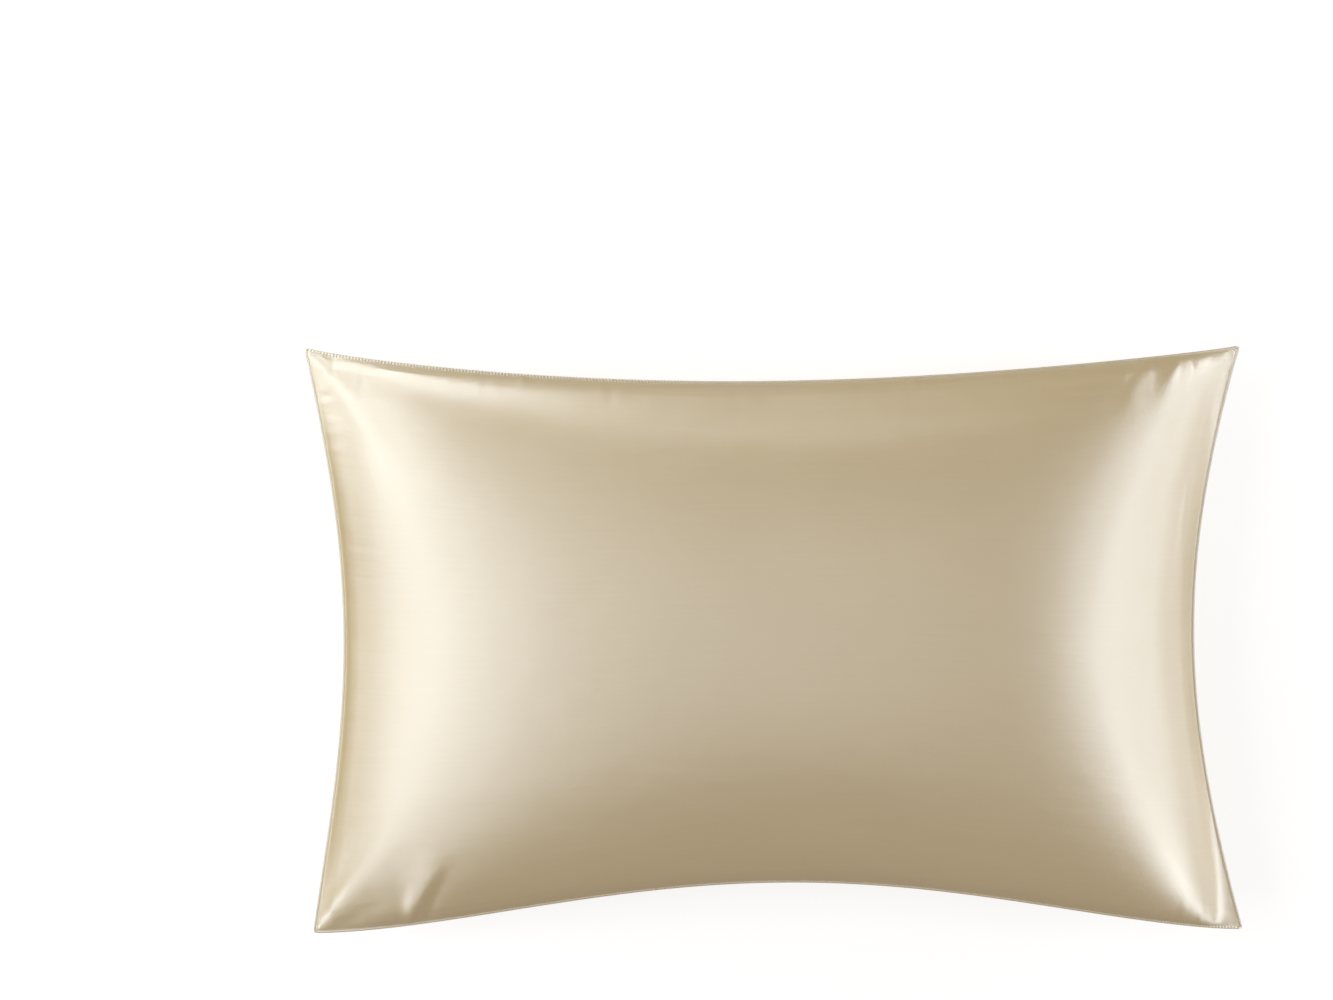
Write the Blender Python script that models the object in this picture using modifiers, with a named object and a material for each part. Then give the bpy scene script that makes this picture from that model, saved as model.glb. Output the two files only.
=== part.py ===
"""A filled satin cushion cover (a pillowcase with its insert in it), lying on its back. Metres, +Z up.

The cover is a bag of two panels, cut 800 x 500 mm seam to seam and sewn edge to edge in a plain turned
seam. Filled, it is one body: a crowned face and a crowned back that meet in a thin seam lip. The filling
draws the four sides in between the corners and leaves the corners as thin points, which hang a little
lower than the rest of the seam. The back is pressed flat where it rests. The origin is at the middle of
the base, +X runs along the long sides and +Y towards the head edge.
"""

import math

import bmesh
import bpy
from mathutils import Vector

# Heights.
SEAM_HEIGHT = 0.070  # the seam above the surface, at the middle of each side
FACE_RISE = 0.092  # the face's crown above the seam
BACK_DROP = 0.100  # how far the back would hang below the seam if nothing pressed it flat
LIP_THICKNESS = 0.0016  # two layers of satin and their turned allowance, at the sewn edge
CORNER_DROOP = 0.014  # how much lower the unfilled corners hang
DROOP_POWER = 6  # keeps the droop to the corners: larger reaches less far along the sides

# The crown's section towards each end and towards the long sides. A power of 2 is an ellipse, and a larger
# one is flatter on top. A roundness of 0.5 stands steeply on the seam, and 1 leaves it at a slope.
LEFT_POWER = 2.4
LEFT_ROUNDNESS = 0.60
RIGHT_POWER = 5.0
RIGHT_ROUNDNESS = 1.00
SIDE_POWER = 2.1
SIDE_ROUNDNESS = 0.45
CHANGE_OVER = 6.0  # how quickly the left end's section turns into the right end's
HIP_POWER = 1.2  # how sharply the ends' slopes meet the long sides' slopes: larger is more like a hip roof
CORNER_THINNING = 1.0  # how much thinner the corners are

# Plan of the filled cover's corners.
CORNERS = {
    "head_left": Vector((-0.3968, 0.2469)),
    "head_right": Vector((0.3943, 0.2485)),
    "foot_left": Vector((-0.3893, -0.2485)),
    "foot_right": Vector((0.3983, -0.2450)),
}

# Each side: its two corners, how deep it is drawn in, where along it that is deepest, and how narrow the
# drawn-in stretch is: 1 is a sine, and a larger power leaves the ends straighter.
SIDES = {
    #        from          to            draw_in  deepest  power
    "head": ("head_left", "head_right", 0.0295, 0.46, 0.85),
    "foot": ("foot_left", "foot_right", 0.0425, 0.51, 1.45),
    "left": ("foot_left", "head_left", 0.0305, 0.52, 0.95),
    "right": ("foot_right", "head_right", 0.0417, 0.51, 0.88),
}

# Soft folds of the face from one plan point to another: how high at the crest (a trough is negative) and
# how wide to each side. They run from the corners, where the cloth is pulled towards the tips.
FOLDS = {
    #                      from               to                rise     half_width
    "foot_left_ridge": ((-0.372, -0.228), (-0.318, -0.150), 0.0060, 0.013),
    "foot_left_trough": ((-0.350, -0.225), (-0.300, -0.172), -0.0050, 0.011),
    "foot_left_pleat": ((-0.303, -0.226), (-0.280, -0.170), 0.0060, 0.009),
    "head_left_ridge": ((-0.382, 0.230), (-0.325, 0.168), 0.0045, 0.012),
    "head_right_inner": ((0.309, 0.226), (0.288, 0.195), 0.0030, 0.009),
    "head_right_middle": ((0.336, 0.226), (0.318, 0.185), 0.0035, 0.009),
    "head_right_outer": ((0.361, 0.226), (0.343, 0.183), 0.0030, 0.009),
    "foot_right_ridge": ((0.358, -0.230), (0.318, -0.178), 0.0035, 0.013),
}
FOLD_START = 0.25  # the share of the crown by which a fold has its full height: it fades into the seam

# The empty end of the cover beyond the insert, at the foot's right-hand corner: past both of these lines.
EAR_LINE_X = 0.368
EAR_LINE_Y = -0.165
EAR_SOFTNESS = 0.015  # how far to each side of a line the cloth takes to turn flat
EAR_FLATNESS = 0.85  # how much of the crown is missing there

# The cage that the Subdivision Surface smooths.
CELLS_LONG = 28
CELLS_WIDE = 18
EDGE_CROWDING = 0.85  # 0 spaces the cage evenly, and 1 crowds it into the edges as a sine does
SUBDIVISION = 1
TINY = 1e-6


def past(line, softness, value):
    """0 well below a line, 1 well above it, and a smooth rise between."""
    share = min(1.0, max(0.0, (value - line) / (2 * softness) + 0.5))
    return share * share * (3 - 2 * share)


def crowded(even):
    """The place of a cage line, from -1 to 1, with the lines closer together near both ends."""
    return (1 - EDGE_CROWDING) * even + EDGE_CROWDING * math.sin(even * math.pi / 2)


def side_point(side, share):
    """The point that lies that share of the way along a drawn-in side."""
    start_name, end_name, draw_in, deepest, power = SIDES[side]
    start, end = CORNERS[start_name], CORNERS[end_name]
    inward = Vector((start.y - end.y, end.x - start.x)).normalized()
    if inward.dot(start + end) > 0:
        inward.negate()
    warped = share ** (math.log(0.5) / math.log(deepest))
    depth = draw_in * max(0.0, math.sin(math.pi * warped)) ** power
    return start.lerp(end, share) + inward * depth


def plan_point(s, t):
    """The plan place of the cover's point (s, t), each from -1 to 1: the sides' curves, filled in between."""
    a, b = (s + 1) / 2, (t + 1) / 2
    across = side_point("foot", a).lerp(side_point("head", a), b)
    along = side_point("left", b).lerp(side_point("right", b), a)
    foot = CORNERS["foot_left"].lerp(CORNERS["foot_right"], a)
    head = CORNERS["head_left"].lerp(CORNERS["head_right"], a)
    return across + along - foot.lerp(head, b)


def crown(s, t):
    """The share of the full crown at (s, t): 0 on the seam and 1 in the middle."""
    rightness = 1 / (1 + math.exp(-CHANGE_OVER * s))
    end_power = LEFT_POWER + (RIGHT_POWER - LEFT_POWER) * rightness
    end_roundness = LEFT_ROUNDNESS + (RIGHT_ROUNDNESS - LEFT_ROUNDNESS) * rightness
    toward_end = abs(s) ** end_power
    toward_side = abs(t) ** SIDE_POWER
    if toward_end > 1 - TINY or toward_side > 1 - TINY:
        return 0.0
    end_share = (1 - toward_end) ** end_roundness
    side_share = (1 - toward_side) ** SIDE_ROUNDNESS
    lower = (end_share**-HIP_POWER + side_share**-HIP_POWER - 1) ** (-1 / HIP_POWER)
    return lower ** (1 + CORNER_THINNING * (toward_end * toward_side) ** 2)


def seam_height(s, t):
    """How high the seam lies at (s, t), carried inwards: the corners hang a little."""
    return SEAM_HEIGHT - CORNER_DROOP * abs(s * t) ** DROOP_POWER


def filled(plan):
    """The share of its crown that the cover keeps at a plan point: little in the empty end, all elsewhere."""
    in_ear = past(EAR_LINE_X, EAR_SOFTNESS, plan.x) * past(-EAR_LINE_Y, EAR_SOFTNESS, -plan.y)
    return 1 - EAR_FLATNESS * in_ear


def folds(plan):
    """How far the folds of the face stand up at a plan point."""
    height = 0.0
    for start, end, rise, half_width in FOLDS.values():
        start, end = Vector(start), Vector(end)
        run = end - start
        share = (plan - start).dot(run) / run.length_squared
        beside = (plan - start.lerp(end, min(1.0, max(0.0, share)))).length
        height += rise * math.exp(-((beside / half_width) ** 2))
    return height


def face_height(s, t):
    """The height of the face above the base."""
    plan = plan_point(s, t)
    share = crown(s, t)
    raised = FACE_RISE * share + folds(plan) * past(FOLD_START / 2, FOLD_START / 2, share)
    return seam_height(s, t) + LIP_THICKNESS / 2 + raised * filled(plan)


def back_height(s, t):
    """The height of the back above the base, where the surface presses it flat."""
    hanging = BACK_DROP * crown(s, t) * filled(plan_point(s, t))
    return max(0.0, seam_height(s, t) - LIP_THICKNESS / 2 - hanging)


def satin_material():
    """Champagne satin."""
    material = bpy.data.materials.new("satin")
    material.use_nodes = True
    shader = material.node_tree.nodes["Principled BSDF"]
    shader.inputs["Base Color"].default_value = (0.60, 0.48, 0.32, 1.0)
    shader.inputs["Roughness"].default_value = 0.35
    shader.inputs["Metallic"].default_value = 0.0
    return material


def crease_of(edge):
    """1 on an edge that stays sharp: the two rims of the seam lip, and its upright edges at three tips."""
    first, second = (vertex.co for vertex in edge.verts)
    middle = (first + second) / 2
    on_long_end = abs(middle.x) > 1 - TINY
    on_wide_end = abs(middle.y) > 1 - TINY
    if abs(first.z - second.z) < TINY:
        return float(on_long_end or on_wide_end)
    blunt = middle.x > 0 > middle.y  # the empty end's tip is rounded
    return float(on_long_end and on_wide_end and not blunt)


def cushion_cage():
    """A box of cage cells, one cell thick, moved to the cover's face, back and seam lip."""
    cage = bmesh.new()
    bmesh.ops.create_cube(cage, size=2.0)
    for axis, cells in ((0, CELLS_LONG), (1, CELLS_WIDE)):
        along = [edge for edge in cage.edges if abs(edge.verts[0].co[axis] - edge.verts[1].co[axis]) > 1]
        bmesh.ops.subdivide_edges(cage, edges=along, cuts=cells - 1, use_grid_fill=True)
    crease = cage.edges.layers.float.new("crease_edge")
    for edge in cage.edges:
        edge[crease] = crease_of(edge)
    for vertex in cage.verts:
        s, t = crowded(vertex.co.x), crowded(vertex.co.y)
        height = face_height(s, t) if vertex.co.z > 0 else back_height(s, t)
        vertex.co = (*plan_point(s, t), height)
    bmesh.ops.recalc_face_normals(cage, faces=cage.faces)
    return cage


def make_cushion(collection):
    """The filled cover: one solid."""
    mesh = bpy.data.meshes.new("cushion_cover")
    cage = cushion_cage()
    cage.to_mesh(mesh)
    cage.free()
    mesh.materials.append(satin_material())
    mesh.shade_smooth()
    cushion = bpy.data.objects.new("cushion_cover", mesh)
    collection.objects.link(cushion)
    smooth = cushion.modifiers.new("smooth", "SUBSURF")
    smooth.levels = smooth.render_levels = SUBDIVISION


def main():
    for obj in list(bpy.data.objects):
        bpy.data.objects.remove(obj)
    collection = bpy.data.collections.new("satin cushion cover")
    bpy.context.scene.collection.children.link(collection)
    make_cushion(collection)


main()
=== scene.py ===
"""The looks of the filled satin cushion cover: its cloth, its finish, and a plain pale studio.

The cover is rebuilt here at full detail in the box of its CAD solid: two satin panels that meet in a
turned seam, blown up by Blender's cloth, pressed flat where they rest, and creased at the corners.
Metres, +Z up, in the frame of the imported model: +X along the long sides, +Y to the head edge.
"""

import math

import bpy
import numpy as np
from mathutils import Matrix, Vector


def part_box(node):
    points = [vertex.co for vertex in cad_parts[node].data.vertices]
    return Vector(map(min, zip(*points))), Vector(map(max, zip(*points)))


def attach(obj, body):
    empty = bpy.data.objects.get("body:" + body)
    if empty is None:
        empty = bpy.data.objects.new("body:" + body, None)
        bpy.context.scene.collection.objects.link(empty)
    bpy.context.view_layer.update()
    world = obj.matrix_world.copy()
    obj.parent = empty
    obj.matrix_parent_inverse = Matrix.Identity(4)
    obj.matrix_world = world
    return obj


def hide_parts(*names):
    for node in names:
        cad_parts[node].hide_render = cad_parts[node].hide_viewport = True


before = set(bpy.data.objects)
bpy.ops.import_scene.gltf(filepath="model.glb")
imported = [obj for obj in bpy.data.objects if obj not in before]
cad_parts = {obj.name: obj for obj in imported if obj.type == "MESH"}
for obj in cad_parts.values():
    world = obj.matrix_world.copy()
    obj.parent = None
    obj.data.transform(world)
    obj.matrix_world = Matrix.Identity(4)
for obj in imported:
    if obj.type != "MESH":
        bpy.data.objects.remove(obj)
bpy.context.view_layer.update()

# ---------------------------------------------------------------- the cover's own sizes, from the CAD box
LOW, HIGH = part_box("cushion_cover")
HALF_LONG = (HIGH.x - LOW.x) / 2
HALF_WIDE = (HIGH.y - LOW.y) / 2
SEAM_HEIGHT = 0.43 * HIGH.z  # the seam above the surface, at the middle of each side
FACE_RISE = 0.566 * HIGH.z  # the face's crown above the seam
BACK_DROP = 0.615 * HIGH.z  # how far the back would hang below the seam if nothing pressed it flat
CORNER_DROOP = 0.014  # how much lower the unfilled corners hang
DROOP_POWER = 6  # keeps the droop to the corners

CUT_LONG = 0.800  # each panel as cut, seam to seam
CUT_WIDE = 0.500
SLACK = 0.006  # how much longer the cloth is than the shape that it is blown up from
SMALLER = 0.955  # that shape's crown, as a share of the full one

LIP_WIDTH = 0.0022  # the turned seam's edge beyond the stitches
LIP_HALF = 0.0009  # half the lip's thickness
# The lip's rounded section, out from the stitches and up, as shares of those two sizes.
LIP_PROFILE = ((0.35, 0.9), (0.8, 0.75), (1.0, 0.0), (0.8, -0.75), (0.35, -0.9))
STITCH_GAP = 0.0004  # how far each panel stands off the seam's middle at the stitches

# The crown's section towards each end and towards the long sides. A power of 2 is an ellipse, and a larger
# one is flatter on top. A roundness of 0.5 stands steeply on the seam, and 1 leaves it at a slope.
LEFT_POWER = 2.4
LEFT_ROUNDNESS = 0.60
RIGHT_POWER = 5.0
RIGHT_ROUNDNESS = 1.00
SIDE_POWER = 2.1
SIDE_ROUNDNESS = 0.45
CHANGE_OVER = 6.0  # how quickly the left end's section turns into the right end's
HIP_POWER = 1.2  # how sharply the ends' slopes meet the long sides' slopes: larger is more like a hip roof
CORNER_THINNING = 1.0  # how much thinner the corners are

# The stitch line's corners, as shares of the half sizes less the lip.
CORNERS = {
    "head_left": (-1.000, 0.994),
    "head_right": (0.994, 1.000),
    "foot_left": (-0.981, -1.000),
    "foot_right": (1.000, -0.986),
}

# Each side: its two corners, how deep it is drawn in, where along it that is deepest, and how narrow the
# drawn-in stretch is: 1 is a sine, and a larger power leaves the ends straighter.
SIDES = {
    #        from          to            draw_in  deepest  power
    "head": ("head_left", "head_right", 0.0295, 0.46, 0.85),
    "foot": ("foot_left", "foot_right", 0.0425, 0.51, 1.45),
    "left": ("foot_left", "head_left", 0.0305, 0.52, 0.95),
    "right": ("foot_right", "head_right", 0.0417, 0.51, 0.88),
}

# Folds of the face: a smooth curve through three plan points, how high its crest stands (a trough is
# negative), and how wide it is to its left and to its right, seen from its start. A fold is half as wide at
# its start and half as wide again at its end, where it has faded away.
FOLDS = {
    #                       start              middle             end             rise     left    right
    "foot_left_ridge": ((-0.386, -0.246), (-0.346, -0.194), (-0.290, -0.118), 0.0025, 0.011, 0.015),
    "foot_left_trough": ((-0.372, -0.243), (-0.330, -0.222), (-0.290, -0.196), -0.0012, 0.010, 0.010),
    "foot_left_pleat": ((-0.307, -0.236), (-0.290, -0.204), (-0.270, -0.172), 0.0036, 0.013, 0.005),
    "foot_left_crease": ((-0.294, -0.237), (-0.284, -0.213), (-0.270, -0.184), -0.0020, 0.003, 0.008),
    "head_left_ridge": ((-0.398, 0.243), (-0.356, 0.199), (-0.310, 0.130), 0.0022, 0.012, 0.011),
    "head_left_tuck": ((-0.380, 0.243), (-0.371, 0.239), (-0.360, 0.232), -0.0016, 0.005, 0.006),
    "head_left_roll": ((-0.335, 0.2290), (-0.290, 0.2215), (-0.225, 0.2170), 0.0010, 0.0025, 0.004),
    "head_right_brim": ((0.275, 0.2195), (0.335, 0.2275), (0.388, 0.2400), 0.0014, 0.009, 0.016),
    "head_right_edge": ((0.310, 0.233), (0.286, 0.215), (0.280, 0.185), -0.0011, 0.007, 0.010),
    "head_right_inner": ((0.318, 0.232), (0.298, 0.216), (0.288, 0.170), 0.0011, 0.009, 0.008),
    "head_right_dip": ((0.329, 0.231), (0.317, 0.213), (0.307, 0.185), -0.0006, 0.008, 0.008),
    "head_right_middle": ((0.343, 0.234), (0.330, 0.216), (0.312, 0.170), 0.0013, 0.008, 0.008),
    "head_right_gap": ((0.353, 0.235), (0.348, 0.221), (0.339, 0.195), -0.0007, 0.006, 0.006),
    "head_right_outer": ((0.391, 0.241), (0.368, 0.224), (0.342, 0.175), 0.0012, 0.009, 0.007),
    "foot_right_ridge": ((0.372, -0.247), (0.352, -0.228), (0.318, -0.188), 0.0012, 0.010, 0.012),
    "right_imprint": ((0.346, 0.135), (0.338, 0.062), (0.335, -0.012), 0.0004, 0.004, 0.004),
}
FOLD_SAMPLES = 24

# Small tucks that the seam gathers: the side, how far along it (X or Y), and the rise of the tuck.
TUCKS = (
    #  side     place    rise
    ("foot", -0.100, 0.0016),
    ("foot", 0.018, 0.0018),
    ("foot", 0.060, 0.0016),
    ("foot", 0.157, 0.0014),
    ("head", -0.212, 0.0012),
    ("head", 0.116, 0.0012),
)
TUCK_REACH = 0.007  # how far in from the seam a tuck runs
TUCK_HALF = 0.0024  # half its width along the seam
TUCK_START = 0.0015  # how far in it has its full rise

PUCKER_PITCHES = (0.0085, 0.0130, 0.0210)  # the seam's fine gathers, as three waves along it
PUCKER_RISE = 0.00013
PUCKER_REACH = 0.013  # how far in they fade
PUCKER_START = 0.002  # how far in they begin
PUCKER_SWELL = 0.11  # the length of seam over which they grow and shrink again
PUCKER_SEED = 7
FREE_HEIGHT = 0.02  # the back has its seam details in full from this far above the surface
ALLOWANCE = 0.0125  # the turned seam allowance prints through the face this far in
ALLOWANCE_RISE = 0.00012
ALLOWANCE_HALF = 0.0030

# The flattened ear at the foot's right corner: outside a crease along Y, and below its top.
EAR_CREASE = 0.3645  # the crease's X at the ear's top
EAR_LEAN = 0.11  # how far the crease leans outwards for each metre towards the foot
EAR_CREASE_SOFTNESS = 0.0035
EAR_TOP = -0.150
EAR_TOP_SOFTNESS = 0.008
EAR_FLATNESS = 0.50

# The fine mesh, in cells along and across a panel, and how much it crowds into the edges.
CELLS_LONG = 264
CELLS_WIDE = 168
EDGE_CROWDING = 0.70
CLOTH_STEP = 2  # the cloth is blown up on every second line of the fine mesh
CLOTH_FRAMES = 20
CLOTH_PRESSURE = 4.0
FURTHEST_MOVE = 0.012  # the cap on how far the blowing up may move a point
CALMING = 8  # how many times the blown-up shape's sharpest wrinkles are evened out
CORNER_CALM = 1.0  # keeps the corners to the listed folds: smaller reaches further in

# ---------------------------------------------------------------- the satin
SATIN_LIGHT = (0.87, 0.66, 0.265)
SATIN_DARK = (0.81, 0.60, 0.23)
# Painted light: a colour paler than the satin, mixed in along the seam, stands in for the light that the
# turned lip catches.
SEAM_PAINTED_LIGHT = (0.90, 0.74, 0.40)
FLOAT_LENGTH = 0.0028  # a warp float, between the weft threads that tie it down
THREAD_PITCH = 0.00035
STITCH_PITCH = 0.0028
STITCH_REACH = 0.0035  # how far in from the seam the stitches dimple the cloth
SEAM_PAINTED_LIGHT_SHARE = 0.8  # how much of the seam's painted light shows near the stitches: a paler colour that stands in for light on the lip
RIPPLE_RISE = 0.0004
THREAD_RISE = 0.00005
STITCH_DEPTH = 0.00012
WEAVE_DEPTH = 0.00002
SMOOTHEST = 0.35  # the satin's roughness where its threads lie smoothest
ROUGHEST = 0.41  # and where they lie roughest
SHEEN_IOR = 3.0  # higher than a fibre's, for the strong sheen of satin's floats

# ---------------------------------------------------------------- the studio
CAMERA_RISE = 3.0  # above the seam
CAMERA_OFFSET = (-0.0906, 0.118)  # from the middle of the cover
VIEW_WIDTH = 1.123  # what the frame spans at the height of the seam
SENSOR_WIDTH = 36.0  # millimetres

FLOOR_SIZE = 12
FLOOR_GLOW = 0.66  # the pale floor shines a little, as a lit sheet does
CARD_SIZE = 1.6  # the glowing card under the floor at the cover's right
CARD_NEAR_EDGE = 0.60  # from the middle of the cover
CARD_DEPTH = 0.002  # under the floor
CARD_GLOW = 1.0
LIGHT_DISTANCE = 2.5  # from the middle of the cover to each softbox
LIGHT_COLOR = (0.89, 0.95, 1.0)
FILL_COLOR = (1.0, 0.86, 0.78)
FILL_STRENGTH = 0.27

# The softboxes: the direction that each stands in, in degrees from +X towards +Y and up from the surface,
# its width and height in metres, and how bright it is, in stops above or below a radiance of 1: each stop
# doubles it.
SOFTBOXES = {
    #                azimuth elevation width height stops
    "left_high": (182, 56, 2.4, 0.9, 0.5),
    "left_mid": (184, 37, 2.0, 0.7, 1.0),
    "head_left_mid": (138, 26, 1.1, 0.8, 1.0),
    "head_left_low": (155, 6, 1.6, 0.5, 2.5),
    "foot_left_low": (214, 11, 0.9, 0.6, 2.0),
    "head_low": (109, 6, 1.2, 0.5, 2.5),
    "head_right_low": (38, 12, 1.0, 0.6, 2.0),
    "foot_right_low": (318, 5, 0.9, 0.4, 1.0),
    "foot_right_mid": (338, 17, 1.0, 0.5, 2.0),
    "right_low": (12, 8, 1.3, 0.6, 0.5),
    "right_mid": (3, 28, 1.5, 0.5, 1.0),
    "right_high": (0, 46, 1.6, 0.6, 0.0),
    "top": (0, 88, 1.6, 1.6, -1.5),
}


def crowded(even):
    """Places from -1 to 1, closer together near both ends."""
    return (1 - EDGE_CROWDING) * even + EDGE_CROWDING * np.sin(even * math.pi / 2)


def corner(name):
    """The plan place of a corner of the stitch line."""
    along, across = CORNERS[name]
    return np.array([along * (HALF_LONG - LIP_WIDTH), across * (HALF_WIDE - LIP_WIDTH)])


def side_points(side, share):
    """The points at those shares of the way along a drawn-in side."""
    start_name, end_name, draw_in, deepest, power = SIDES[side]
    start, end = corner(start_name), corner(end_name)
    inward = np.array([start[1] - end[1], end[0] - start[0]])
    inward /= np.linalg.norm(inward)
    if inward @ (start + end) > 0:
        inward = -inward
    warped = share ** (math.log(0.5) / math.log(deepest))
    depth = draw_in * np.maximum(0, np.sin(math.pi * warped)) ** power
    return start + share[..., None] * (end - start) + depth[..., None] * inward


def plan_points(s, t):
    """The plan places of the cover's points (s, t), each from -1 to 1."""
    a, b = (s + 1) / 2, (t + 1) / 2
    wide_a, wide_b = a[..., None], b[..., None]
    across = side_points("foot", a) * (1 - wide_b) + side_points("head", a) * wide_b
    along = side_points("left", b) * (1 - wide_a) + side_points("right", b) * wide_a
    foot = corner("foot_left") * (1 - wide_a) + corner("foot_right") * wide_a
    head = corner("head_left") * (1 - wide_a) + corner("head_right") * wide_a
    return across + along - foot * (1 - wide_b) - head * wide_b


def crown(s, t):
    """The share of the full crown at (s, t): 0 on the seam and 1 in the middle."""
    rightness = 1 / (1 + np.exp(-CHANGE_OVER * s))
    end_power = LEFT_POWER + (RIGHT_POWER - LEFT_POWER) * rightness
    end_roundness = LEFT_ROUNDNESS + (RIGHT_ROUNDNESS - LEFT_ROUNDNESS) * rightness
    toward_end = np.abs(s) ** end_power
    toward_side = np.abs(t) ** SIDE_POWER
    end_share = np.maximum(1e-12, 1 - toward_end) ** end_roundness
    side_share = np.maximum(1e-12, 1 - toward_side) ** SIDE_ROUNDNESS
    lower = (end_share**-HIP_POWER + side_share**-HIP_POWER - 1) ** (-1 / HIP_POWER)
    return lower ** (1 + CORNER_THINNING * (toward_end * toward_side) ** 2)


def seam_height(s, t):
    """How high the seam lies at (s, t), carried inwards: the corners hang a little."""
    return SEAM_HEIGHT - CORNER_DROOP * np.abs(s * t) ** DROOP_POWER


def panels(step, fullness=1.0):
    """(s, t, face points, back points) on every step-th line of the fine mesh, with a share of the crown."""
    s = crowded(np.linspace(-1, 1, CELLS_LONG + 1)[::step])
    t = crowded(np.linspace(-1, 1, CELLS_WIDE + 1)[::step])
    s, t = np.meshgrid(s, t, indexing="ij")
    plan = plan_points(s, t)
    seam = seam_height(s, t)
    rise = fullness * crown(s, t)
    face = np.dstack([plan, seam + STITCH_GAP + FACE_RISE * rise])
    back = np.dstack([plan, np.maximum(0, seam - STITCH_GAP - BACK_DROP * rise)])
    return s, t, face, back


def grid_faces(shape, first):
    """Index quads of a grid of that shape whose first vertex has that number."""
    numbers = first + np.arange(shape[0] * shape[1]).reshape(shape)
    quads = [numbers[:-1, :-1], numbers[1:, :-1], numbers[1:, 1:], numbers[:-1, 1:]]
    return np.stack([q.ravel() for q in quads], axis=1)


def bag_object(face, back):
    """The two panels as one closed bag, sewn at the rim, whose cloth is a little longer than its shape."""
    shape = face.shape[:2]
    points = np.vstack([face.reshape(-1, 3), back.reshape(-1, 3)])
    inner = np.zeros(shape, bool)
    inner[1:-1, 1:-1] = True
    inner = inner.ravel()
    count = inner.size
    number = np.arange(2 * count)
    number[count:][~inner] = number[:count][~inner]
    kept, number = np.unique(number, return_inverse=True)
    quads = np.vstack([grid_faces(shape, 0), grid_faces(shape, count)[:, ::-1]])
    mesh = bpy.data.meshes.new("bag")
    mesh.from_pydata(points[kept].tolist(), [], number[quads].tolist())
    bag = bpy.data.objects.new("bag", mesh)
    bpy.context.scene.collection.objects.link(bag)
    bag.shape_key_add(name="filled")
    slack = bag.shape_key_add(name="slack")
    slack.data.foreach_set("co", (points[kept] * (1 + SLACK)).ravel())
    seam = bag.vertex_groups.new(name="seam")
    seam.add(np.unique(number[:count][~inner]).tolist(), 1.0, "REPLACE")
    return bag, number


def blown_up(step):
    """How far Blender's cloth moves each point of the face and of the back, on every step-th line."""
    face, back = panels(step, SMALLER)[2:]
    bag, number = bag_object(face, back)
    cloth = bag.modifiers.new("cloth", "CLOTH")
    cloth.settings.rest_shape_key = bag.data.shape_keys.key_blocks["slack"]
    cloth.settings.vertex_group_mass = "seam"
    cloth.settings.quality = 8
    cloth.settings.tension_stiffness = 40
    cloth.settings.compression_stiffness = 20
    cloth.settings.shear_stiffness = 8
    cloth.settings.bending_stiffness = 1.0
    cloth.settings.use_pressure = True
    cloth.settings.uniform_pressure_force = CLOTH_PRESSURE
    cloth.settings.effector_weights.gravity = 0
    cloth.collision_settings.use_collision = False
    cloth.point_cache.frame_end = CLOTH_FRAMES
    for number_of_frame in range(1, CLOTH_FRAMES + 1):
        bpy.context.scene.frame_set(number_of_frame)
    settled = bag.evaluated_get(bpy.context.evaluated_depsgraph_get()).data
    points = np.empty(len(settled.vertices) * 3)
    settled.vertices.foreach_get("co", points)
    points = points.reshape(-1, 3)[number].reshape(2, *face.shape)
    bpy.data.objects.remove(bag)
    moves = points - np.stack(panels(step)[2:])
    lengths = np.linalg.norm(moves, axis=-1, keepdims=True)
    return moves * np.minimum(1, FURTHEST_MOVE / np.maximum(lengths, 1e-9))


def calmed(moves, s, t):
    """The moves of a panel's points with the sharpest wrinkles evened out, and less near the corners."""
    for _ in range(CALMING):
        inner = moves[1:-1, 1:-1]
        along = moves[:-2, 1:-1] + moves[2:, 1:-1]
        across = moves[1:-1, :-2] + moves[1:-1, 2:]
        moves = moves.copy()
        moves[1:-1, 1:-1] = inner / 2 + (along + across) / 8
    return moves * (1 - np.abs(s * t) ** CORNER_CALM)[..., None]


def doubled(grid, axis):
    """A grid with a smooth line put between every two of its lines."""
    lines = np.moveaxis(grid, axis, 0)
    wide = np.concatenate([2 * lines[:1] - lines[1:2], lines, 2 * lines[-1:] - lines[-2:-1]])
    between = (9 * (wide[1:-2] + wide[2:-1]) - wide[:-3] - wide[3:]) / 16
    finer = np.empty((2 * len(lines) - 1, *lines.shape[1:]))
    finer[::2] = lines
    finer[1::2] = between
    return np.moveaxis(finer, 0, axis)


def normals_of(points):
    """The unit normals of a panel's grid of points, up on the face."""
    along = np.gradient(points, axis=0)
    across = np.gradient(points, axis=1)
    normals = np.cross(along, across)
    return normals / np.maximum(np.linalg.norm(normals, axis=2, keepdims=True), 1e-12)


def fold_curve(start, middle, end):
    """Points along the smooth curve through three plan points."""
    start, middle, end = (np.array(p) for p in (start, middle, end))
    pull = 2 * middle - (start + end) / 2
    share = np.linspace(0, 1, FOLD_SAMPLES)[:, None]
    return (1 - share) ** 2 * start + 2 * share * (1 - share) * pull + share**2 * end


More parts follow.
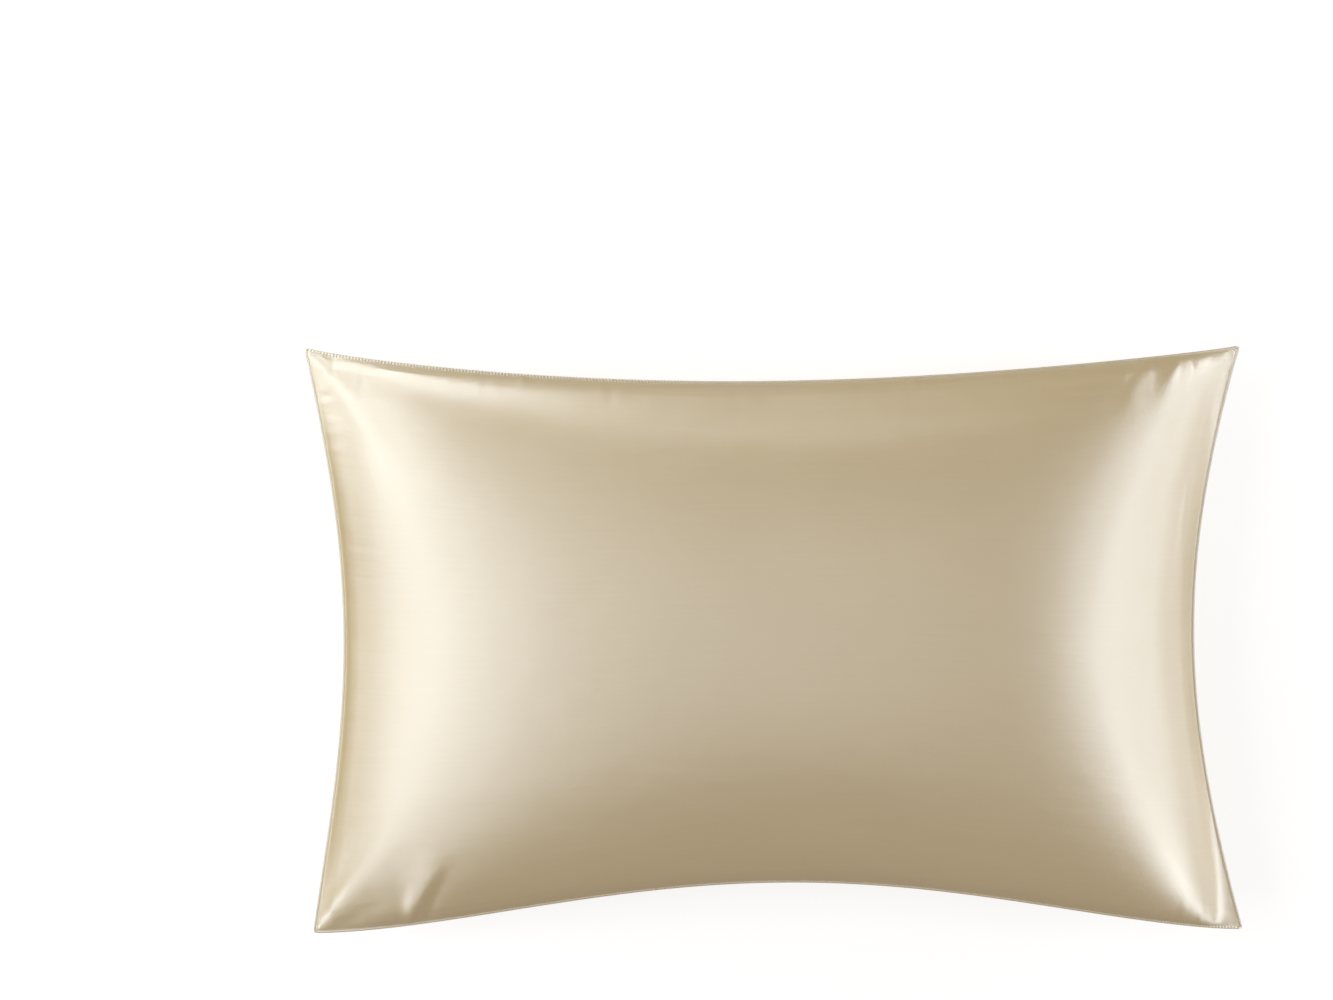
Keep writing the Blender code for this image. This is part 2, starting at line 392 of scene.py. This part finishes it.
def fold_rise(plan, start, middle, end, rise, left, right):
    """How far one fold stands up at each plan point."""
    curve = fold_curve(start, middle, end)
    runs = np.diff(curve, axis=0)
    nearest = np.full(plan.shape[:2], np.inf)
    height = np.zeros(plan.shape[:2])
    for index, run in enumerate(runs):
        reach = plan - curve[index]
        share = np.clip((reach @ run) / (run @ run), 0, 1)
        apart = reach - share[..., None] * run
        distance = np.linalg.norm(apart, axis=2)
        side = run[0] * apart[..., 1] - run[1] * apart[..., 0]
        along = (index + share) / len(runs)
        width = np.where(side > 0, left, right) * (0.5 + along)
        fade = np.sin(math.pi * (0.04 + 0.96 * along) ** 0.6) ** 1.5
        closer = distance < nearest
        nearest = np.where(closer, distance, nearest)
        height = np.where(closer, rise * fade * np.exp(-((distance / width) ** 2)), height)
    return height


def seam_distances(s, t):
    """How far inside the end seams and the side seams each point lies, roughly."""
    return (1 - np.abs(s)) * HALF_LONG, (1 - np.abs(t)) * HALF_WIDE


def gathers(run, inside, phases):
    """The fine gathers beside a seam: waves along it that die away inside."""
    waves = sum(np.sin(2 * math.pi * run / pitch + phase) for pitch, phase in zip(PUCKER_PITCHES, phases))
    uneven = 0.6 + 0.4 * np.sin(2 * math.pi * run / PUCKER_SWELL + phases[0])
    fade = np.exp(-inside / PUCKER_REACH) * (1 - np.exp(-inside / PUCKER_START))
    return PUCKER_RISE * waves * uneven * fade


def seam_details(s, t, plan):
    """How far the gathers, the tucks and the seam allowance's imprint stand up at each plan point."""
    end_inside, side_inside = seam_distances(s, t)
    random = np.random.default_rng(PUCKER_SEED)
    height = np.zeros(s.shape)
    for axis, inside, coordinate in ((1, end_inside, s), (0, side_inside, t)):
        for sign in (-1, 1):
            phases = random.uniform(0, 2 * math.pi, len(PUCKER_PITCHES))
            here = coordinate * sign > 0
            height += np.where(here, gathers(plan[..., axis], inside, phases), 0)
    for side, place, rise in TUCKS:
        sign = 1 if side == "head" else -1
        along = np.exp(-(((plan[..., 0] - place) / TUCK_HALF) ** 2))
        inward = np.exp(-((side_inside / TUCK_REACH) ** 2)) * np.minimum(1, side_inside / TUCK_START)
        height += np.where(t * sign > 0, rise * along * inward, 0)
    nearest = np.minimum(end_inside, side_inside)
    imprint = np.exp(-(((nearest - ALLOWANCE) / ALLOWANCE_HALF) ** 2))
    return height + ALLOWANCE_RISE * imprint


def add_folds(s, t, face):
    """The face with its folds and its seam's details stood up along its normals."""
    plan = face[..., :2]
    height = sum(fold_rise(plan, *fold) for fold in FOLDS.values()) + seam_details(s, t, plan)
    on_seam = (np.abs(s) == 1) | (np.abs(t) == 1)
    return face + normals_of(face) * np.where(on_seam, 0, height)[..., None]


def add_seam_details(s, t, back):
    """The back with its seam's details, stood out below it where it isn't pressed flat."""
    height = seam_details(s, t, back[..., :2])
    free = np.clip(back[..., 2] / FREE_HEIGHT, 0, 1)
    on_seam = (np.abs(s) == 1) | (np.abs(t) == 1)
    return back - normals_of(back) * np.where(on_seam, 0, height * free)[..., None]


def flatten_ear(s, t, panel):
    """A panel with the foot's right corner pressed flat outside its crease."""
    below = EAR_TOP - panel[..., 1]
    outside = panel[..., 0] - EAR_CREASE - EAR_LEAN * below
    share = 1 / ((1 + np.exp(-outside / EAR_CREASE_SOFTNESS)) * (1 + np.exp(-below / EAR_TOP_SOFTNESS)))
    seam = seam_height(s, t)
    flat = panel.copy()
    flat[..., 2] = seam + (panel[..., 2] - seam) * (1 - EAR_FLATNESS * share)
    return flat


def rim_order():
    """The grid places round the rim of a panel, once round."""
    foot = [(i, 0) for i in range(CELLS_LONG)]
    right = [(CELLS_LONG, j) for j in range(CELLS_WIDE)]
    head = [(i, CELLS_WIDE) for i in range(CELLS_LONG, 0, -1)]
    left = [(0, j) for j in range(CELLS_WIDE, 0, -1)]
    return foot + right + head + left


def lip_rings(rim):
    """The lip's rings of points outside the rim: over the top, round the edge, and under."""
    ahead = np.roll(rim, -1, axis=0) - np.roll(rim, 1, axis=0)
    outward = np.stack([ahead[:, 1], -ahead[:, 0]], axis=1)
    outward /= np.linalg.norm(outward, axis=1, keepdims=True)
    rings = []
    for out, up in LIP_PROFILE:
        plan = rim[:, :2] + outward * out * LIP_WIDTH
        rings.append(np.column_stack([plan, rim[:, 2] + up * LIP_HALF]))
    return rings


def cover_mesh(s, t, face, back):
    """One closed mesh of both panels and the lip, with the cut's places as its UV map in metres."""
    order = rim_order()
    columns = CELLS_WIDE + 1
    count = face.shape[0] * columns
    rim_numbers = np.array([i * columns + j for i, j in order])
    middle = (face.reshape(-1, 3)[rim_numbers] + back.reshape(-1, 3)[rim_numbers]) / 2
    rings = lip_rings(middle)
    points = np.vstack([face.reshape(-1, 3), back.reshape(-1, 3), *rings])
    loops = [rim_numbers]
    loops += [2 * count + k * len(order) + np.arange(len(order)) for k in range(len(rings))]
    loops += [count + rim_numbers]
    quads = [grid_faces(s.shape, 0), grid_faces(s.shape, count)[:, ::-1]]
    for inner, outer in zip(loops, loops[1:]):
        quads.append(np.stack([inner, outer, np.roll(outer, -1), np.roll(inner, -1)], axis=1))
    mesh = bpy.data.meshes.new("satin_cover")
    mesh.from_pydata(points.tolist(), [], np.vstack(quads).tolist())
    flat = np.column_stack([s.ravel() * CUT_LONG / 2, t.ravel() * CUT_WIDE / 2])
    rim_flat = flat[rim_numbers]
    places = np.vstack([flat, flat, *[rim_flat * (1 + 0.002 * k) for k in (1, 2, 3, 2, 1)]])
    corners = np.empty(len(mesh.loops), np.int32)
    mesh.loops.foreach_get("vertex_index", corners)
    mesh.uv_layers.new(name="cut").uv.foreach_set("vector", places[corners].astype(np.float32).ravel())
    mesh.shade_smooth()
    return mesh


def principled(name, color, roughness):
    """A new material and its Principled BSDF."""
    material = bpy.data.materials.new(name)
    material.use_nodes = True
    shader = material.node_tree.nodes["Principled BSDF"]
    shader.inputs["Base Color"].default_value = (*color, 1)
    shader.inputs["Roughness"].default_value = roughness
    return material, shader


def add_node(tree, kind, inputs=None, **settings):
    """A new node with those settings, its inputs set to values or joined to other nodes' outputs."""
    made = tree.nodes.new(kind)
    for name, value in settings.items():
        setattr(made, name, value)
    for name, value in (inputs or {}).items():
        if isinstance(value, bpy.types.NodeSocket):
            tree.links.new(value, made.inputs[name])
        else:
            made.inputs[name].default_value = value
    return made


def maths(tree, operation, first, second=0.0):
    """The output of a Math node."""
    return add_node(tree, "ShaderNodeMath", {0: first, 1: second}, operation=operation).outputs[0]


def mapped(tree, value, low, high, to_low, to_high):
    """A value of low to high as one of to_low to to_high, held to that range."""
    inputs = {"Value": value, "From Min": low, "From Max": high, "To Min": to_low, "To Max": to_high}
    return add_node(tree, "ShaderNodeMapRange", inputs).outputs["Result"]


def blended(tree, share, first, second):
    """The mix of two colours."""
    inputs = {0: share, 6: first, 7: second}
    return add_node(tree, "ShaderNodeMix", inputs, data_type="RGBA").outputs[2]


def noise(tree, place, scale, detail):
    """Noise from 0 to 1 with that many features to the metre along and across the cloth."""
    stretched = add_node(tree, "ShaderNodeMapping", {"Vector": place, "Scale": (*scale, 1)})
    inputs = {"Vector": stretched.outputs["Vector"], "Scale": 1.0, "Detail": detail}
    return add_node(tree, "ShaderNodeTexNoise", inputs).outputs["Fac"]


def satin_weave(tree, place):
    """The satin's long warp floats, each tied down at its ends by one weft thread: 1 there, 0 elsewhere."""
    inputs = {
        "Vector": place,
        "Scale": 1.0,
        "Brick Width": FLOAT_LENGTH,
        "Row Height": THREAD_PITCH,
        "Mortar Size": THREAD_PITCH / 6,
        "Mortar Smooth": 1.0,
    }
    weave = add_node(tree, "ShaderNodeTexBrick", inputs, offset=0.4, offset_frequency=2)
    return weave.outputs["Fac"]


def seam_nodes(tree, place):
    """(how near the seam each point is, from 1 to 0, and the dimples of its stitches)."""
    parts = add_node(tree, "ShaderNodeSeparateXYZ", {"Vector": place}).outputs
    along, across = parts["X"], parts["Y"]
    end_gap = maths(tree, "SUBTRACT", CUT_LONG / 2, maths(tree, "ABSOLUTE", along))
    side_gap = maths(tree, "SUBTRACT", CUT_WIDE / 2, maths(tree, "ABSOLUTE", across))
    gap = maths(tree, "MINIMUM", end_gap, side_gap)
    near = mapped(tree, gap, 0.0, STITCH_REACH, 1.0, 0.0)
    turn = maths(tree, "MULTIPLY", maths(tree, "ADD", along, across), 2 * math.pi / STITCH_PITCH)
    dimples = maths(tree, "MULTIPLY", maths(tree, "SINE", turn), near)
    return near, dimples


def bumped(tree, height, distance, normal=None):
    """The normal that a height gives on top of another normal."""
    inputs = {"Height": height, "Distance": distance, "Strength": 1.0}
    if normal is not None:
        inputs["Normal"] = normal
    return add_node(tree, "ShaderNodeBump", inputs).outputs["Normal"]


def satin_material():
    """Champagne satin: warp floats along X, uneven threads, faint clouds, a stitched seam, and painted light
    along the seam, whose colour is paler.
    """
    material, shader = principled("champagne_satin", SATIN_LIGHT, 0.38)
    tree = material.node_tree
    place = add_node(tree, "ShaderNodeUVMap", uv_map="cut").outputs["UV"]
    threads = noise(tree, place, (9.0, 620.0), 3.0)
    clouds = noise(tree, place, (7.0, 11.0), 2.0)
    ripples = noise(tree, place, (22.0, 48.0), 2.0)
    near_seam, stitches = seam_nodes(tree, place)

    tone = maths(tree, "ADD", maths(tree, "MULTIPLY", threads, 0.6), maths(tree, "MULTIPLY", clouds, 0.4))
    color = blended(tree, mapped(tree, tone, 0.3, 0.7, 0.0, 1.0), (*SATIN_DARK, 1), (*SATIN_LIGHT, 1))
    # painted light: the paler seam colour is mixed in near the seam, standing in for the light that the lip
    # catches
    painted_seam_light = maths(tree, "MULTIPLY", near_seam, SEAM_PAINTED_LIGHT_SHARE)
    tree.links.new(blended(tree, painted_seam_light, color, (*SEAM_PAINTED_LIGHT, 1)), shader.inputs["Base Color"])
    tree.links.new(mapped(tree, threads, 0.3, 0.7, SMOOTHEST, ROUGHEST), shader.inputs["Roughness"])

    normal = bumped(tree, ripples, RIPPLE_RISE)
    normal = bumped(tree, threads, THREAD_RISE, normal)
    normal = bumped(tree, stitches, STITCH_DEPTH, normal)
    sunk_ends = maths(tree, "MULTIPLY", satin_weave(tree, place), -1.0)
    normal = bumped(tree, sunk_ends, WEAVE_DEPTH, normal)
    tree.links.new(normal, shader.inputs["Normal"])

    tangent = add_node(tree, "ShaderNodeTangent", direction_type="UV_MAP", uv_map="cut")
    tree.links.new(tangent.outputs["Tangent"], shader.inputs["Tangent"])
    shader.inputs["Anisotropic"].default_value = 0.5
    shader.inputs["Anisotropic Rotation"].default_value = 0.25
    shader.inputs["IOR"].default_value = SHEEN_IOR
    shader.inputs["Specular IOR Level"].default_value = 1.0
    return material


def make_cover():
    """The cover: its shape, blown up, folded and pressed flat, with its satin on."""
    s, t, face, back = panels(1)
    coarse_s, coarse_t = panels(CLOTH_STEP)[:2]
    moves = (calmed(panel_moves, coarse_s, coarse_t) for panel_moves in blown_up(CLOTH_STEP))
    face_moves, back_moves = (doubled(doubled(panel_moves, 0), 1) for panel_moves in moves)
    face, back = face + face_moves, back + back_moves
    face = flatten_ear(s, t, add_folds(s, t, face))
    back = flatten_ear(s, t, add_seam_details(s, t, back))
    back[..., 2] = np.maximum(0, back[..., 2])  # the surface presses it flat
    mesh = cover_mesh(s, t, face, back)
    mesh.materials.append(satin_material())
    cover = bpy.data.objects.new("satin_cover", mesh)
    bpy.context.scene.collection.objects.link(cover)
    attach(cover, "root")
    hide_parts("cushion_cover")
    return cover


def make_floor():
    """A pale floor. The cover doesn't pick up its bounced light, as if dark cards stood round the cover."""
    material, shader = principled("pale_floor", (0.6, 0.6, 0.6), 0.9)
    shader.inputs["Emission Color"].default_value = (1, 1, 1, 1)
    shader.inputs["Emission Strength"].default_value = FLOOR_GLOW
    material.cycles.emission_sampling = "NONE"
    bpy.ops.mesh.primitive_plane_add(size=FLOOR_SIZE)
    floor = bpy.context.object
    floor.name = "floor"
    floor.data.materials.append(material)
    floor.visible_diffuse = False
    floor.visible_glossy = False


def make_bounce_card():
    """A glowing card under the floor that brightens the right side of the cover where it turns under.

    Only the cover's own rays pass through the floor, so the card neither shows nor lights the floor.
    """
    material, shader = principled("bounce_card", (0, 0, 0), 0.9)
    shader.inputs["Emission Color"].default_value = (1, 1, 1, 1)
    shader.inputs["Emission Strength"].default_value = CARD_GLOW
    material.cycles.emission_sampling = "NONE"
    middle = (CARD_NEAR_EDGE + CARD_SIZE / 2, 0, -CARD_DEPTH)
    bpy.ops.mesh.primitive_plane_add(size=CARD_SIZE, location=middle)
    card = bpy.context.object
    card.name = "bounce_card"
    card.data.materials.append(material)
    card.visible_camera = False


def make_softbox(name, azimuth, elevation, width, height, stops):
    """A soft light that stands in that direction from the middle of the cover and faces it."""
    light = bpy.data.lights.new(name, "AREA")
    light.shape = "RECTANGLE"
    light.size, light.size_y = width, height
    light.energy = math.pi * width * height * 2**stops
    light.color = LIGHT_COLOR
    lamp = bpy.data.objects.new(name, light)
    bpy.context.scene.collection.objects.link(lamp)
    around, up = math.radians(azimuth), math.radians(elevation)
    outward = Vector((math.cos(around) * math.cos(up), math.sin(around) * math.cos(up), math.sin(up)))
    lamp.location = Vector((0, 0, SEAM_HEIGHT)) + LIGHT_DISTANCE * outward
    lamp.rotation_euler = (-outward).to_track_quat("-Z", "Y").to_euler()
    lamp.visible_camera = False


def make_lights():
    """All the softboxes."""
    for name, setting in SOFTBOXES.items():
        make_softbox(name, *setting)


def make_world():
    """The weak, warm fill light that comes from all round."""
    world = bpy.data.worlds.new("studio")
    bpy.context.scene.world = world
    world.use_nodes = True
    background = world.node_tree.nodes["Background"]
    background.inputs["Color"].default_value = (*FILL_COLOR, 1)
    background.inputs["Strength"].default_value = FILL_STRENGTH


def make_camera():
    """The camera, above the cover and looking straight down."""
    data = bpy.data.cameras.new("camera")
    data.sensor_fit = "HORIZONTAL"
    data.sensor_width = SENSOR_WIDTH
    data.lens = SENSOR_WIDTH * CAMERA_RISE / VIEW_WIDTH
    camera = bpy.data.objects.new("camera", data)
    bpy.context.scene.collection.objects.link(camera)
    camera.location = (*CAMERA_OFFSET, SEAM_HEIGHT + CAMERA_RISE)
    bpy.context.scene.camera = camera


make_camera()
make_cover()
make_floor()
make_bounce_card()
make_lights()
make_world()
bpy.context.scene.view_settings.view_transform = "Standard"
